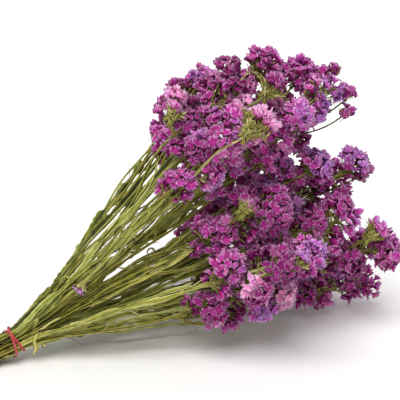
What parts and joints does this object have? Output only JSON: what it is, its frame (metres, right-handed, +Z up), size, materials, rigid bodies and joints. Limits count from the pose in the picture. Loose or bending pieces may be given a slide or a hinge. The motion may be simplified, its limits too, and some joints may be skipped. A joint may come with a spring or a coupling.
{
  "type": "dried statice bunch",
  "caption": "Bunch of dried purple statice lying on its side: winged green stems tied near their cut ends by a red rubber band, fanning out to papery flower heads.",
  "frame": {"origin": "centre of the whole bunch's footprint, on the surface it lies on", "axes": "+X along the bunch from the cut ends to the flowers, +Z up"},
  "size_m": [0.495, 0.3858, 0.3354],
  "materials": {
    "dried_stem": "matt dried green stem, ribbed and winged",
    "papery_calyx": "matt papery purple and magenta calyces over green bracts",
    "red_rubber": "satin red rubber"
  },
  "bodies": {
    "root": {"flower_head_01": "papery_calyx", "flower_head_02": "papery_calyx", "flower_head_03": "papery_calyx", "flower_head_04": "papery_calyx", "flower_head_05": "papery_calyx", "flower_head_06": "papery_calyx", "flower_head_07": "papery_calyx", "flower_head_08": "papery_calyx", "flower_head_09": "papery_calyx", "flower_head_10": "papery_calyx", "flower_head_11": "papery_calyx", "flower_head_12": "papery_calyx", "flower_head_13": "papery_calyx", "flower_head_14": "papery_calyx", "flower_head_15": "papery_calyx", "flower_head_16": "papery_calyx", "flower_head_17": "papery_calyx", "flower_head_18": "papery_calyx", "flower_head_19": "papery_calyx", "flower_head_20": "papery_calyx", "flower_head_21": "papery_calyx", "flower_head_22": "papery_calyx", "flower_head_23": "papery_calyx", "flower_head_24": "papery_calyx", "flower_head_25": "papery_calyx", "flower_head_26": "papery_calyx", "loose_floret": "papery_calyx", "rubber_band": "red_rubber", "stem_01": "dried_stem", "stem_02": "dried_stem", "stem_03": "dried_stem", "stem_04": "dried_stem", "stem_05": "dried_stem", "stem_06": "dried_stem", "stem_07": "dried_stem", "stem_08": "dried_stem", "stem_09": "dried_stem", "stem_10": "dried_stem", "stem_11": "dried_stem", "stem_12": "dried_stem", "stem_13": "dried_stem", "stem_14": "dried_stem", "stem_15": "dried_stem", "stem_16": "dried_stem", "stem_17": "dried_stem", "stem_18": "dried_stem", "stem_19": "dried_stem", "stem_20": "dried_stem", "stem_21": "dried_stem", "stem_22": "dried_stem", "stem_23": "dried_stem", "stem_24": "dried_stem", "stem_25": "dried_stem", "stem_26": "dried_stem"}
  },
  "joints": []
}
